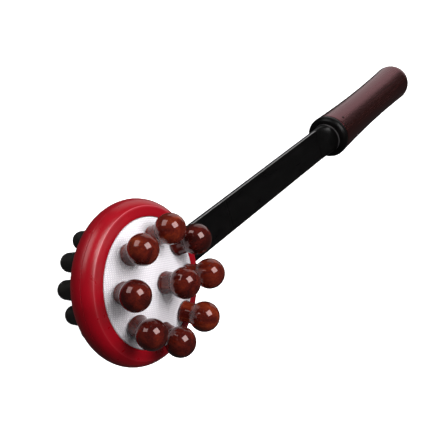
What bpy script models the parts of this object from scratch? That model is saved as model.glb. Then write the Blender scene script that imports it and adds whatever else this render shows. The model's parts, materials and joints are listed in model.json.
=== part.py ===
"""Flexible tapping massager: a round head with turned knobs in front and rubber nubs behind, on a
springy flat bar with a turned wooden grip. It lies on its nubs with the knobs up. Metres, +Z up, +X from
the head to the grip."""

import math

import bmesh
import bpy
from mathutils import Matrix, Vector

# The head's axis, the front edge of its pad and the bar's middle plane place everything else.
HEAD_X = -0.16285
PAD_EDGE_Z = 0.0410
BAR_Z = PAD_EDGE_Z - 0.0071
GAP = 0.0003
CUT_OVERLAP = 0.0010

# Padded front: cloth over foam over a solid core, all on one sphere centre.
DOME_RADIUS = 0.0760
PAD_RADIUS = 0.0371
DOME_CENTRE_Z = PAD_EDGE_Z - math.sqrt(DOME_RADIUS**2 - PAD_RADIUS**2)
CLOTH_THICKNESS = 0.0007
FOAM_THICKNESS = 0.0045
CLOTH_SKIRT_Z = PAD_EDGE_Z - 0.0035

# Red rim in two rings that meet in the bar's plane and clamp the core between them.
RIM_RADIUS = 0.0477
RIM_WIDEST_Z = PAD_EDGE_Z - 0.0094
CREASE_RADIUS = 0.0434
CREASE_Z = PAD_EDGE_Z - 0.0012
CREASE_EDGE = 0.0004
# The side leaves the crease towards this point and comes round upright at its widest.
RIM_PULL = (0.0475, PAD_EDGE_Z - 0.0038)
RIM_BACK_RADIUS = 0.0383
RIM_BACK_Z = PAD_EDGE_Z - 0.0202
CORE_RADIUS = 0.0432
CORE_TOP_Z = PAD_EDGE_Z - 0.0045
FLANGE_TOP_Z = PAD_EDGE_Z - 0.0145
FLANGE_RADIUS = 0.0350
CORE_BACK_Z = PAD_EDGE_Z - 0.0171
RIM_BACK_ARC_START = -12.0

# Turned knobs, one near the middle and a ring of eight. Each stands square to the dome at its own radius.
KNOB_RADII = (0.0012, 0.0258, 0.0258, 0.0273, 0.0273, 0.0273, 0.0275, 0.0282, 0.0262)
KNOB_RING_START = math.radians(28.0)
KNOB_CLEARANCE = 0.00035
KNOB_BASE_RADIUS = 0.0064
KNOB_BASE_TOP = 0.0010
KNOB_NECK_RADIUS = 0.0060
KNOB_NECK_LOW = 0.0030
KNOB_NECK_HIGH = 0.0060
BALL_RADIUS = 0.0088
BALL_HEIGHT = 0.0136
BALL_FOOT_ANGLE = -46.0
KNOB_BORE_RADIUS = 0.0020
KNOB_BORE_DEPTH = 0.0090

# Screws into the knobs, from pockets in the back of the core.
SCREW_RADIUS = 0.0017
SCREW_REACH = 0.0080
SCREW_SEAT = -0.0154
SCREW_HEAD_RADIUS = 0.0032
SCREW_HEAD_HEIGHT = 0.0020
SCREW_POCKET_LENGTH = 0.0160
SCREW_TIP_BEVEL = 0.0008
SCREW_HEAD_ROUND = 0.35

# Screws that clamp the rings and the core, from pockets in the back of the rim.
CASE_SCREW_COUNT = 4
CASE_SCREW_RING = 0.0405
CASE_SCREW_RADIUS = 0.0012
CASE_SCREW_TOP_Z = PAD_EDGE_Z - 0.0024
CASE_SEAT_Z = PAD_EDGE_Z - 0.0160
CASE_HEAD_RADIUS = 0.0022
CASE_HEAD_HEIGHT = 0.0012

# Screws that hold the strip in the core.
CLAMP_SCREW_X = HEAD_X + 0.0305
CLAMP_SCREW_Y = 0.0050
CLAMP_SCREW_RADIUS = 0.0014
CLAMP_SCREW_TOP_Z = PAD_EDGE_Z - 0.0055
CLAMP_HEAD_RADIUS = 0.0026
CLAMP_SEAT_Z = PAD_EDGE_Z - 0.0143

# Rubber nub pad on the back: tapered nubs in two rings, and one in the middle.
NUB_PAD_RADIUS = 0.0372
NUB_PAD_EDGE = 0.0006
NUB_PAD_TOP_Z = CORE_BACK_Z - GAP
NUB_PAD_BACK_Z = RIM_BACK_Z
NUB_RINGS = (
    # count, ring radius, angle of the first
    (12, 0.0297, math.radians(11.3)),
    (6, 0.0155, math.radians(30.0)),
    (1, 0.0, 0.0),
)
NUB_BASE_RADIUS = 0.0069
NUB_TIP_RADIUS = 0.0057
NUB_TIP_ARC_START = 4.0
NUB_BURIED = 0.0012

# Springy bar: a steel strip in a flat sleeve.
STRIP_WIDTH = 0.0170
STRIP_THICKNESS = 0.0014
STRIP_START_X = HEAD_X + 0.0275
STRIP_END_X = HEAD_X + 0.2555
STRIP_SLOT_LENGTH = 0.0300
STRIP_END_GAP = 0.0005
SLEEVE_WIDTH = 0.0220
SLEEVE_THICKNESS = 0.0032
SLEEVE_EDGE = 0.0007
SLEEVE_START_X = HEAD_X + 0.0481
SLEEVE_END_X = HEAD_X + 0.2121

# Hinge lines of the two bends.
HEAD_HINGE_X = HEAD_X + 0.0478
ROOT_HINGE_X = HEAD_X + 0.2126

# Ferrule and wooden grip, on an axis that drops slightly towards the tip.
FERRULE_X = HEAD_X + 0.2320
GRIP_DROP = math.radians(2.7)
GRIP_RADIUS = 0.0155
BOSS_RADIUS = 0.0110
BOSS_FRONT = -0.0055
CAP_FRONT = -0.0047
CAP_END = 0.0010
CAP_LAND = 0.0006
CAP_ARC_END = -84.0
FLARE_OVERLAP = 0.0015
SPIGOT_RADIUS = 0.0110
SPIGOT_END = 0.0300
SPIGOT_EDGE = 0.0010
WAIST_AT = 0.0730
WAIST_RADIUS = 0.0138
TIP_CENTRE = 0.1268
TIP_RADIUS = 0.0147
GRIP_EDGE = 0.0004
PIN_RADIUS = 0.0009
PIN_PLACES = ((0.0088, math.radians(45.0)), (0.0044, math.radians(26.0)))
PIN_OUTER = 0.0155
PIN_LENGTH = 0.0065
PIN_CROWN = 0.0003


def clear_scene():
    for obj in list(bpy.data.objects):
        bpy.data.objects.remove(obj, do_unlink=True)


def new_collection(name, helper=False):
    collection = bpy.data.collections.new(name)
    bpy.context.scene.collection.children.link(collection)
    collection.hide_render = helper
    return collection


def new_material(name, colour, roughness, metallic=0.0):
    material = bpy.data.materials.new(name)
    material.use_nodes = True
    shader = material.node_tree.nodes["Principled BSDF"]
    shader.inputs["Base Color"].default_value = (*colour, 1.0)
    shader.inputs["Roughness"].default_value = roughness
    shader.inputs["Metallic"].default_value = metallic
    material.diffuse_color = (*colour, 1.0)
    return material


def new_frame(name, x, z):
    frame = bpy.data.objects.new(name, None)
    frame.location = (x, 0.0, z)
    frame.empty_display_size = 0.02
    PARTS.objects.link(frame)
    return frame


def add_part(name, mesh, material, frame):
    """Makes a part that keeps its world place under the frame it moves with."""
    obj = bpy.data.objects.new(name, mesh)
    mesh.materials.append(material)
    PARTS.objects.link(obj)
    obj.parent = frame
    obj.matrix_parent_inverse = Matrix.Translation(-frame.location)
    return obj


def add_cutter(name, mesh):
    obj = bpy.data.objects.new(name, mesh)
    CUTTERS.objects.link(obj)
    obj.display_type = "WIRE"
    obj.hide_render = True
    return obj


def arc(centre, radii, start, end, count):
    """Points on an elliptical arc. Angles are in degrees, from outwards (0) to up (90)."""
    points = []
    for step in range(count + 1):
        angle = math.radians(start + (end - start) * step / count)
        points.append((centre[0] + radii[0] * math.cos(angle), centre[1] + radii[1] * math.sin(angle)))
    return points


def turn(obj, steps):
    screw = obj.modifiers.new("turn", "SCREW")
    screw.steps = steps
    screw.render_steps = steps
    screw.use_merge_vertices = True
    screw.merge_threshold = 0.00001
    screw.use_smooth_shade = True


def profile_mesh(name, outline):
    """The edge loop of a turned shape: (radius, height) points, down the outer side and back up inside."""
    mesh = bpy.data.meshes.new(name)
    points = [(radius, 0.0, height) for radius, height in outline]
    edges = [(index, index + 1) for index in range(len(points) - 1)]
    if outline[0][0] > 0.0:
        edges.append((len(points) - 1, 0))
    mesh.from_pydata(points, edges, [])
    return mesh


def turned_part(name, outline, steps, material, frame):
    obj = add_part(name, profile_mesh(name, outline), material, frame)
    turn(obj, steps)
    return obj


def boolean(obj, other, operation="DIFFERENCE"):
    modifier = obj.modifiers.new(other.name, "BOOLEAN")
    modifier.operation = operation
    modifier.solver = "EXACT"
    modifier.object = other


def holes(name, frames, low, high, radius):
    """One cutter with a clearance hole along Z in each frame."""
    bm = bmesh.new()
    middle = Matrix.Translation((0.0, 0.0, (low + high) / 2))
    for frame in frames:
        bmesh.ops.create_cone(
            bm,
            cap_ends=True,
            segments=10,
            radius1=radius + GAP,
            radius2=radius + GAP,
            depth=high - low,
            matrix=frame @ middle,
        )
    mesh = bpy.data.meshes.new(name)
    bm.to_mesh(mesh)
    bm.free()
    return add_cutter(name, mesh)


def box_mesh(name, size, centre):
    bm = bmesh.new()
    place = Matrix.Translation(centre) @ Matrix.Diagonal((*size, 1.0))
    bmesh.ops.create_cube(bm, size=1.0, matrix=place)
    mesh = bpy.data.meshes.new(name)
    bm.to_mesh(mesh)
    bm.free()
    return mesh


def bevel(obj, width, segments):
    modifier = obj.modifiers.new("edges", "BEVEL")
    modifier.width = width
    modifier.segments = segments
    modifier.limit_method = "ANGLE"


def dome(radius, edge_radius, count, inwards=False):
    """Profile points on the dome's sphere, from the axis out to edge_radius, or back in."""
    edge_angle = math.degrees(math.acos(edge_radius / radius))
    points = arc((0.0, DOME_CENTRE_Z), (radius, radius), 90.0, edge_angle, count)
    points[0] = (0.0, DOME_CENTRE_Z + radius)
    if inwards:
        points.reverse()
    return points


def dome_reach(radius, height):
    """Distance from the axis at which a dome passes a height."""
    return math.sqrt(radius**2 - (height - DOME_CENTRE_Z) ** 2)


def knob_matrix(index):
    """Frame of a knob at the middle of its base, with Z along the knob. Index 0 is the middle knob."""
    ring_radius = KNOB_RADII[index]
    angle = 0.0
    if index > 0:
        angle = KNOB_RING_START + (index - 1) * math.tau / (len(KNOB_RADII) - 1)
    lean = math.asin(ring_radius / DOME_RADIUS)
    centre = Matrix.Translation((HEAD_X, 0.0, DOME_CENTRE_Z))
    outwards = Matrix.Rotation(angle, 4, "Z") @ Matrix.Rotation(lean, 4, "Y")
    return centre @ outwards @ Matrix.Translation((0.0, 0.0, DOME_RADIUS + KNOB_CLEARANCE))


def screw_outline(radius, top, seat, head_radius, head_height):
    """A pan-head screw, point up and head down, from its tip to the middle of its head."""
    tip = SCREW_TIP_BEVEL
    edge = head_height * SCREW_HEAD_ROUND
    return [
        (0.0, top),
        (radius - tip, top),
        (radius, top - tip),
        (radius, seat),
        (head_radius, seat),
        (head_radius, seat - head_height + edge),
        (head_radius - edge, seat - head_height),
        (0.0, seat - head_height),
    ]


def make_knobs(frame, material, screw_material):
    top = BALL_HEIGHT + BALL_RADIUS
    ball = arc((0.0, BALL_HEIGHT), (BALL_RADIUS, BALL_RADIUS), 90.0, BALL_FOOT_ANGLE, 8)
    ball[0] = (0.0, top)
    outline = ball + [
        (KNOB_NECK_RADIUS, KNOB_NECK_HIGH),
        (KNOB_NECK_RADIUS, KNOB_NECK_LOW),
        (KNOB_BASE_RADIUS, KNOB_BASE_TOP),
        (KNOB_BASE_RADIUS, GAP),
        (KNOB_BASE_RADIUS - GAP, 0.0),
        (KNOB_BORE_RADIUS, 0.0),
        (KNOB_BORE_RADIUS, KNOB_BORE_DEPTH),
        (0.0, KNOB_BORE_DEPTH),
    ]
    seat = SCREW_SEAT - GAP
    screw = screw_outline(SCREW_RADIUS, SCREW_REACH, seat, SCREW_HEAD_RADIUS, SCREW_HEAD_HEIGHT)
    for index in range(len(KNOB_RADII)):
        suffix = "center" if index == 0 else str(index)
        knob = turned_part("knob_" + suffix, outline, 18, material, frame)
        knob.matrix_basis = knob_matrix(index)
        fixing = turned_part("knob_screw_" + suffix, screw, 10, screw_material, frame)
        fixing.matrix_basis = knob_matrix(index)


def make_pad(frame, cloth_material, foam_material, knob_holes):
    inner_radius = DOME_RADIUS - CLOTH_THICKNESS
    inner_edge = PAD_RADIUS - CLOTH_THICKNESS
    cloth_outline = dome(DOME_RADIUS, PAD_RADIUS, 6)
    cloth_outline += [(PAD_RADIUS, CLOTH_SKIRT_Z), (inner_edge, CLOTH_SKIRT_Z)]
    cloth_outline += dome(inner_radius, inner_edge, 6, inwards=True)
    cloth = turned_part("pad_cloth", cloth_outline, 36, cloth_material, frame)
    cloth.location = (HEAD_X, 0.0, 0.0)
    boolean(cloth, knob_holes)

    foam_radius = inner_radius - GAP
    foam_edge = inner_edge - GAP
    foam_low = CORE_TOP_Z + GAP
    under_radius = foam_radius - FOAM_THICKNESS
    foam_outline = dome(foam_radius, foam_edge, 6) + [(foam_edge, foam_low)]
    foam_outline += dome(under_radius, dome_reach(under_radius, foam_low), 5, inwards=True)
    foam = turned_part("pad_foam", foam_outline, 32, foam_material, frame)
    foam.location = (HEAD_X, 0.0, 0.0)
    boolean(foam, knob_holes)


def make_core(frame, material, cutters):
    top_radius = DOME_RADIUS - CLOTH_THICKNESS - FOAM_THICKNESS - 2 * GAP
    outline = dome(top_radius, dome_reach(top_radius, CORE_TOP_Z), 5)
    outline += [
        (CORE_RADIUS, CORE_TOP_Z),
        (CORE_RADIUS, FLANGE_TOP_Z + GAP),
        (FLANGE_RADIUS - GAP, FLANGE_TOP_Z + GAP),
        (FLANGE_RADIUS - GAP, CORE_BACK_Z),
        (0.0, CORE_BACK_Z),
    ]
    core = turned_part("head_core", outline, 36, material, frame)
    core.location = (HEAD_X, 0.0, 0.0)
    for cutter in cutters:
        boolean(core, cutter)


def rim_side(start, end, count):
    """Points down the rim's side between two heights, from the crease or below it to the widest or above."""
    curve = CREASE_Z - 2 * RIM_PULL[1] + RIM_WIDEST_Z
    slope = RIM_PULL[1] - CREASE_Z
    points = []
    for step in range(count + 1):
        height = start + (end - start) * step / count
        share = (-slope - math.sqrt(slope**2 - curve * (CREASE_Z - height))) / curve
        radius = CREASE_RADIUS * (1 - share) ** 2 + 2 * RIM_PULL[0] * share * (1 - share)
        points.append((radius + RIM_RADIUS * share**2, height))
    return points


def make_rim(frame, material, strip_slot, case_holes, case_pockets):
    """Two rings around the core. The front one carries the flat band and its crease."""
    bore = PAD_RADIUS + GAP
    wall = CORE_RADIUS + GAP
    upper_parting = BAR_Z + GAP / 2
    lower_parting = BAR_Z - GAP / 2
    outline = [
        (bore, PAD_EDGE_Z - CREASE_EDGE),
        (bore + CREASE_EDGE, PAD_EDGE_Z),
        (CREASE_RADIUS - CREASE_EDGE, CREASE_Z + CREASE_EDGE),
    ]
    outline += rim_side(CREASE_Z, upper_parting, 6)
    outline += [(wall, upper_parting), (wall, CORE_TOP_Z + GAP), (bore, CORE_TOP_Z + GAP)]
    front = turned_part("rim_front", outline, 48, material, frame)
    front.location = (HEAD_X, 0.0, 0.0)
    boolean(front, strip_slot)
    boolean(front, case_holes)

    back_centre = (RIM_BACK_RADIUS, RIM_WIDEST_Z)
    back_radii = (RIM_RADIUS - RIM_BACK_RADIUS, RIM_WIDEST_Z - RIM_BACK_Z)
    seat = NUB_PAD_RADIUS + GAP
    outline = rim_side(lower_parting, RIM_WIDEST_Z, 1)
    outline += arc(back_centre, back_radii, RIM_BACK_ARC_START, -90.0, 7)
    outline += [
        (seat, RIM_BACK_Z),
        (seat, CORE_BACK_Z),
        (FLANGE_RADIUS, CORE_BACK_Z),
        (FLANGE_RADIUS, FLANGE_TOP_Z),
        (wall, FLANGE_TOP_Z),
        (wall, lower_parting),
    ]
    back = turned_part("rim_back", outline, 48, material, frame)
    back.location = (HEAD_X, 0.0, 0.0)
    boolean(back, strip_slot)
    boolean(back, case_holes)
    boolean(back, case_pockets)


def case_screw_matrix(index):
    angle = math.tau * (index + 0.5) / CASE_SCREW_COUNT
    return Matrix.Translation(
        (HEAD_X + CASE_SCREW_RING * math.cos(angle), CASE_SCREW_RING * math.sin(angle), 0.0)
    )


def make_case_screws(frame, material):
    seat = CASE_SEAT_Z - GAP
    outline = screw_outline(CASE_SCREW_RADIUS, CASE_SCREW_TOP_Z, seat, CASE_HEAD_RADIUS, CASE_HEAD_HEIGHT)
    for index in range(CASE_SCREW_COUNT):
        screw = turned_part(f"case_screw_{index + 1}", outline, 10, material, frame)
        screw.matrix_basis = case_screw_matrix(index)


def clamp_screw_matrix(index):
    side = 1.0 if index == 0 else -1.0
    return Matrix.Translation((CLAMP_SCREW_X, side * CLAMP_SCREW_Y, 0.0))


def make_clamp_screws(frame, material):
    outline = screw_outline(
        CLAMP_SCREW_RADIUS,
        CLAMP_SCREW_TOP_Z,
        CLAMP_SEAT_Z - GAP,
        CLAMP_HEAD_RADIUS,
        SCREW_HEAD_HEIGHT,
    )
    for index in range(2):
        screw = turned_part(f"clamp_screw_{index + 1}", outline, 10, material, frame)
        screw.matrix_basis = clamp_screw_matrix(index)


def nub_centres():
    """Places of the nubs across the pad."""
    centres = []
    for count, ring_radius, start in NUB_RINGS:
        for index in range(count):
            angle = start + index * math.tau / count
            centres.append(Vector((ring_radius * math.cos(angle), ring_radius * math.sin(angle), 0.0)))
    return centres


def make_nub_forms():
    """All the nubs as one helper, for joining to the pad's disc. Their round tips all touch Z = 0."""
    tip_radii = (NUB_TIP_RADIUS, NUB_TIP_RADIUS)
    outline = [
        (0.0, NUB_PAD_BACK_Z + NUB_BURIED),
        (NUB_BASE_RADIUS, NUB_PAD_BACK_Z + NUB_BURIED),
        (NUB_BASE_RADIUS, NUB_PAD_BACK_Z),
    ]
    outline += arc((0.0, NUB_TIP_RADIUS), tip_radii, NUB_TIP_ARC_START, -90.0, 4)
    outline[-1] = (0.0, 0.0)
    bm = bmesh.new()
    for centre in nub_centres():
        points = [bm.verts.new((centre.x + radius, centre.y, height)) for radius, height in outline]
        edges = [bm.edges.new(pair) for pair in zip(points, points[1:])]
        bmesh.ops.spin(
            bm,
            geom=points + edges,
            cent=centre,
            axis=(0.0, 0.0, 1.0),
            angle=math.tau,
            steps=12,
            use_merge=True,
        )
    bmesh.ops.remove_doubles(bm, verts=bm.verts, dist=0.00001)
    bmesh.ops.recalc_face_normals(bm, faces=bm.faces)
    mesh = bpy.data.meshes.new("nub_forms")
    bm.to_mesh(mesh)
    bm.free()
    forms = add_cutter("nub_forms", mesh)
    forms.location = (HEAD_X, 0.0, 0.0)
    return forms


def make_nub_pad(frame, material):
    outline = [
        (0.0, NUB_PAD_TOP_Z),
        (NUB_PAD_RADIUS, NUB_PAD_TOP_Z),
        (NUB_PAD_RADIUS, NUB_PAD_BACK_Z + NUB_PAD_EDGE),
        (NUB_PAD_RADIUS - NUB_PAD_EDGE, NUB_PAD_BACK_Z),
        (0.0, NUB_PAD_BACK_Z),
    ]
    pad = turned_part("nub_pad", outline, 48, material, frame)
    pad.location = (HEAD_X, 0.0, 0.0)
    boolean(pad, make_nub_forms(), "UNION")


def make_bar(frame, sleeve_material, steel_material, clamp_holes):
    strip_middle = ((STRIP_START_X + STRIP_END_X) / 2, 0.0, BAR_Z)
    strip_length = STRIP_END_X - STRIP_START_X
    strip_mesh = box_mesh("spring_strip", (strip_length, STRIP_WIDTH, STRIP_THICKNESS), strip_middle)
    strip = add_part("spring_strip", strip_mesh, steel_material, frame)
    boolean(strip, clamp_holes)

    sleeve_middle = ((SLEEVE_START_X + SLEEVE_END_X) / 2, 0.0, BAR_Z)
    sleeve_size = (SLEEVE_END_X - SLEEVE_START_X, SLEEVE_WIDTH, SLEEVE_THICKNESS)
    sleeve_mesh = box_mesh("bar_sleeve", sleeve_size, sleeve_middle)
    sleeve = add_part("bar_sleeve", sleeve_mesh, sleeve_material, frame)
    bevel(sleeve, SLEEVE_EDGE, 2)
    hollow_size = (strip_length, STRIP_WIDTH + 2 * GAP, STRIP_THICKNESS + 2 * GAP)
    boolean(sleeve, add_cutter("sleeve_hollow", box_mesh("sleeve_hollow", hollow_size, strip_middle)))


def grip_matrix():
    """Frame of the grip: origin where its axis crosses the ferrule plane, Z towards the tip."""
    return Matrix.Translation((FERRULE_X, 0.0, BAR_Z)) @ Matrix.Rotation(math.pi / 2 + GRIP_DROP, 4, "Y")


def flare_section(position, sides):
    """One section of the loft from the flat bar to the round boss, at position 0 to 1."""
    rise = 1.0 - math.sqrt(max(0.0, 1.0 - position**2))
    half_width = SLEEVE_WIDTH / 2 + (BOSS_RADIUS - SLEEVE_WIDTH / 2) * position
    half_height = SLEEVE_THICKNESS / 2 + (BOSS_RADIUS - SLEEVE_THICKNESS / 2) * rise
    roundness = 2.0 / (9.0 - 7.0 * position**0.5)
    points = []
    for side in range(sides):
        angle = math.tau * (side + 0.5) / sides
        across = math.copysign(abs(math.cos(angle)) ** roundness, math.cos(angle))
        up = math.copysign(abs(math.sin(angle)) ** roundness, math.sin(angle))
        points.append((half_width * across, half_height * up))
    return points


def flare_mesh():
    """A loft in the world's frame, from the bar's flat section into the ferrule."""
    sides = 24
    steps = 9
    front = ROOT_HINGE_X
    back = FERRULE_X + BOSS_FRONT
    # The stations crowd towards the boss, where the section rises fastest.
    positions = [math.sin(math.pi / 2 * step / steps) for step in range(steps + 1)]
    stations = [(front + (back - front) * position, position) for position in positions]
    stations.append((FERRULE_X + FLARE_OVERLAP, 1.0))
    bm = bmesh.new()
    rings = []
    for x, position in stations:
        section = flare_section(position, sides)
        drop = math.tan(GRIP_DROP) * (x - FERRULE_X) * position
        rings.append([bm.verts.new((x, across, BAR_Z + up - drop)) for across, up in section])
    for near, far in zip(rings, rings[1:]):
        for side in range(sides):
            after = (side + 1) % sides
            bm.faces.new((near[side], near[after], far[after], far[side]))
    bm.faces.new(list(reversed(rings[0])))
    bm.faces.new(rings[-1])
    bmesh.ops.recalc_face_normals(bm, faces=bm.faces)
    mesh = bpy.data.meshes.new("ferrule_flare")
    bm.to_mesh(mesh)
    bm.free()
    return mesh


def make_ferrule(frame, material, pin_holes):
    """A domed cap and a spigot, with the flare that the bar comes out of."""
    land = CAP_END - CAP_LAND
    outline = [
        (0.0, SPIGOT_END),
        (SPIGOT_RADIUS - SPIGOT_EDGE, SPIGOT_END),
        (SPIGOT_RADIUS, SPIGOT_END - SPIGOT_EDGE),
        (SPIGOT_RADIUS, CAP_END),
        (GRIP_RADIUS, CAP_END),
    ]
    cap_radii = (GRIP_RADIUS - BOSS_RADIUS, land - CAP_FRONT)
    outline += arc((BOSS_RADIUS, land), cap_radii, 0.0, CAP_ARC_END, 7)
    outline += [(BOSS_RADIUS - SPIGOT_EDGE, CAP_FRONT), (0.0, CAP_FRONT)]
    ferrule = turned_part("ferrule", outline, 36, material, frame)
    ferrule.matrix_basis = grip_matrix()
    boolean(ferrule, add_cutter("ferrule_flare", flare_mesh()), "UNION")
    slot_start = ROOT_HINGE_X - CUT_OVERLAP
    slot_end = STRIP_END_X + STRIP_END_GAP
    slot_size = (slot_end - slot_start, STRIP_WIDTH + 2 * GAP, STRIP_THICKNESS + 2 * GAP)
    slot = box_mesh("ferrule_slot", slot_size, ((slot_start + slot_end) / 2, 0.0, BAR_Z))
    boolean(ferrule, add_cutter("ferrule_slot", slot))
    boolean(ferrule, pin_holes)


def grip_radius(height):
    """Radius of the grip along its axis: a slight waist, fuller at the ferrule than towards the tip."""
    if height < WAIST_AT:
        share = (WAIST_AT - height) / (WAIST_AT - CAP_END)
        return WAIST_RADIUS + (GRIP_RADIUS - WAIST_RADIUS) * share**2
    share = (height - WAIST_AT) / (TIP_CENTRE - WAIST_AT)
    return WAIST_RADIUS + (TIP_RADIUS - WAIST_RADIUS) * share**2


def make_grip(frame, material, pin_holes):
    low = CAP_END + GAP
    outline = arc((0.0, TIP_CENTRE), (TIP_RADIUS, TIP_RADIUS), 90.0, 0.0, 9)
    outline[0] = (0.0, TIP_CENTRE + TIP_RADIUS)
    steps = 9
    for step in range(1, steps + 1):
        height = TIP_CENTRE + (low + GRIP_EDGE - TIP_CENTRE) * step / steps
        outline.append((grip_radius(height), height))
    outline += [
        (grip_radius(low) - GRIP_EDGE, low),
        (SPIGOT_RADIUS + GAP, low),
        (SPIGOT_RADIUS + GAP, SPIGOT_END + GAP),
        (0.0, SPIGOT_END + GAP),
    ]
    grip = turned_part("wood_grip", outline, 32, material, frame)
    grip.matrix_basis = grip_matrix()
    boolean(grip, pin_holes)


def pin_matrix(place):
    """Frame of a pin at its outer end, with Z pointing out of the grip."""
    height, angle = place
    # In the grip's frame, local -X is up and local Y is across.
    out = Vector((-math.cos(angle), math.sin(angle), 0.0))
    turn_out = out.to_track_quat("Z", "Y").to_matrix().to_4x4()
    return grip_matrix() @ Matrix.Translation(out * PIN_OUTER + Vector((0.0, 0.0, height))) @ turn_out


def make_pins(frame, material):
    outline = arc((0.0, -PIN_CROWN), (PIN_RADIUS, PIN_CROWN), 90.0, 0.0, 3)
    outline[0] = (0.0, 0.0)
    outline += [(PIN_RADIUS, -PIN_LENGTH), (0.0, -PIN_LENGTH)]
    for index, place in enumerate(PIN_PLACES):
        pin = turned_part(f"grip_pin_{index + 1}", outline, 12, material, frame)
        pin.matrix_basis = pin_matrix(place)


def make_massager():
    red_plastic = new_material("red_plastic", (0.40, 0.008, 0.014), 0.16)
    brown_lacquer = new_material("brown_lacquer", (0.11, 0.014, 0.006), 0.12)
    white_cloth = new_material("white_cloth", (0.86, 0.84, 0.88), 0.85)
    pale_foam = new_material("pale_foam", (0.80, 0.76, 0.62), 0.90)
    core_wood = new_material("core_wood", (0.55, 0.40, 0.24), 0.60)
    black_rubber = new_material("black_rubber", (0.012, 0.012, 0.010), 0.50)
    black_sleeve = new_material("black_sleeve", (0.010, 0.009, 0.009), 0.35)
    black_ferrule = new_material("black_ferrule", (0.006, 0.006, 0.006), 0.18)
    spring_steel = new_material("spring_steel", (0.55, 0.56, 0.58), 0.30, 1.0)
    screw_steel = new_material("screw_steel", (0.60, 0.60, 0.58), 0.35, 1.0)
    grip_wood = new_material("grip_wood", (0.115, 0.050, 0.042), 0.45)
    pin_steel = new_material("pin_steel", (0.08, 0.06, 0.05), 0.45, 0.6)

    grip_frame = new_frame("grip_frame", FERRULE_X, BAR_Z)
    bar_hinge = new_frame("bar_hinge", ROOT_HINGE_X, BAR_Z)
    head_hinge = new_frame("head_hinge", HEAD_HINGE_X, BAR_Z)

    knob_frames = [knob_matrix(index) for index in range(len(KNOB_RADII))]
    case_frames = [case_screw_matrix(index) for index in range(CASE_SCREW_COUNT)]
    clamp_frames = [clamp_screw_matrix(index) for index in range(2)]
    pin_frames = [pin_matrix(place) for place in PIN_PLACES]
    below_back = RIM_BACK_Z - CUT_OVERLAP
    case_end = CASE_SCREW_TOP_Z + GAP
    clamp_end = CLAMP_SCREW_TOP_Z + GAP
    pocket_end = SCREW_SEAT - SCREW_POCKET_LENGTH
    knob_holes = holes("knob_holes", knob_frames, SCREW_SEAT - CUT_OVERLAP, CUT_OVERLAP, SCREW_RADIUS)
    knob_pockets = holes("knob_pockets", knob_frames, pocket_end, SCREW_SEAT, SCREW_HEAD_RADIUS)
    case_holes = holes("case_holes", case_frames, below_back, case_end, CASE_SCREW_RADIUS)
    case_pockets = holes("case_pockets", case_frames, below_back, CASE_SEAT_Z, CASE_HEAD_RADIUS)
    clamp_holes = holes("clamp_holes", clamp_frames, below_back, clamp_end, CLAMP_SCREW_RADIUS)
    clamp_pockets = holes("clamp_pockets", clamp_frames, below_back, CLAMP_SEAT_Z, CLAMP_HEAD_RADIUS)
    pin_holes = holes("pin_holes", pin_frames, -PIN_LENGTH - GAP, CUT_OVERLAP, PIN_RADIUS)
    slot_middle = (STRIP_START_X - STRIP_END_GAP + STRIP_SLOT_LENGTH / 2, 0.0, BAR_Z)
    slot_size = (STRIP_SLOT_LENGTH, STRIP_WIDTH + 2 * GAP, STRIP_THICKNESS + 2 * GAP)
    strip_slot = add_cutter("strip_slot", box_mesh("strip_slot", slot_size, slot_middle))

    make_knobs(head_hinge, brown_lacquer, screw_steel)
    make_pad(head_hinge, white_cloth, pale_foam, knob_holes)
    make_core(
        head_hinge,
        core_wood,
        (knob_holes, knob_pockets, case_holes, strip_slot, clamp_holes, clamp_pockets),
    )
    make_rim(head_hinge, red_plastic, strip_slot, case_holes, case_pockets)
    make_case_screws(head_hinge, screw_steel)
    make_clamp_screws(head_hinge, screw_steel)
    make_nub_pad(head_hinge, black_rubber)
    make_bar(bar_hinge, black_sleeve, spring_steel, clamp_holes)
    make_ferrule(grip_frame, black_ferrule, pin_holes)
    make_grip(grip_frame, grip_wood, pin_holes)
    make_pins(grip_frame, pin_steel)


clear_scene()
PARTS = new_collection("tapping_massager")
CUTTERS = new_collection("cutters", helper=True)
make_massager()
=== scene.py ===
"""Looks of the tapping massager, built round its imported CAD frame.

Metres, +Z up, +X from the head to the grip.
"""

import json
import math

import bmesh
import bpy
from mathutils import Matrix, Vector, noise


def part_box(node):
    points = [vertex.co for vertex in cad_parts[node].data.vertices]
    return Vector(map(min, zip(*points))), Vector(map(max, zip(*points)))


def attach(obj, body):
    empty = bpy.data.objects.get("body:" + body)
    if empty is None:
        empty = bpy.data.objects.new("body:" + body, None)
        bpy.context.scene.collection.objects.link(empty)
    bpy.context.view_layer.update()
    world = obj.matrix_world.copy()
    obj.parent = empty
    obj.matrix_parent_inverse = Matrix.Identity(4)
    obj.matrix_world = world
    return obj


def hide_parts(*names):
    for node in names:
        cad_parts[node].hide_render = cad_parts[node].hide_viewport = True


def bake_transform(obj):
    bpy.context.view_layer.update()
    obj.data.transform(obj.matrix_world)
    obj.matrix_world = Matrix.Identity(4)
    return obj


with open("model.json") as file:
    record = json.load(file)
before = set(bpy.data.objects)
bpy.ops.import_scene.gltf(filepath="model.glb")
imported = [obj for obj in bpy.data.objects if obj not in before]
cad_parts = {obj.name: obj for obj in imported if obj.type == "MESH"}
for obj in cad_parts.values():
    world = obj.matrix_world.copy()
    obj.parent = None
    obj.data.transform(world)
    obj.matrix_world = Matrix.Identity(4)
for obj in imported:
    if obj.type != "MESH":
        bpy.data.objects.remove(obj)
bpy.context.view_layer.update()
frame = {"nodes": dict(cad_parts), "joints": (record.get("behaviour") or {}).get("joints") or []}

JOINT_PLACE = {joint["name"]: Vector(joint["pos_m"]) for joint in frame["joints"]}

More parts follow.
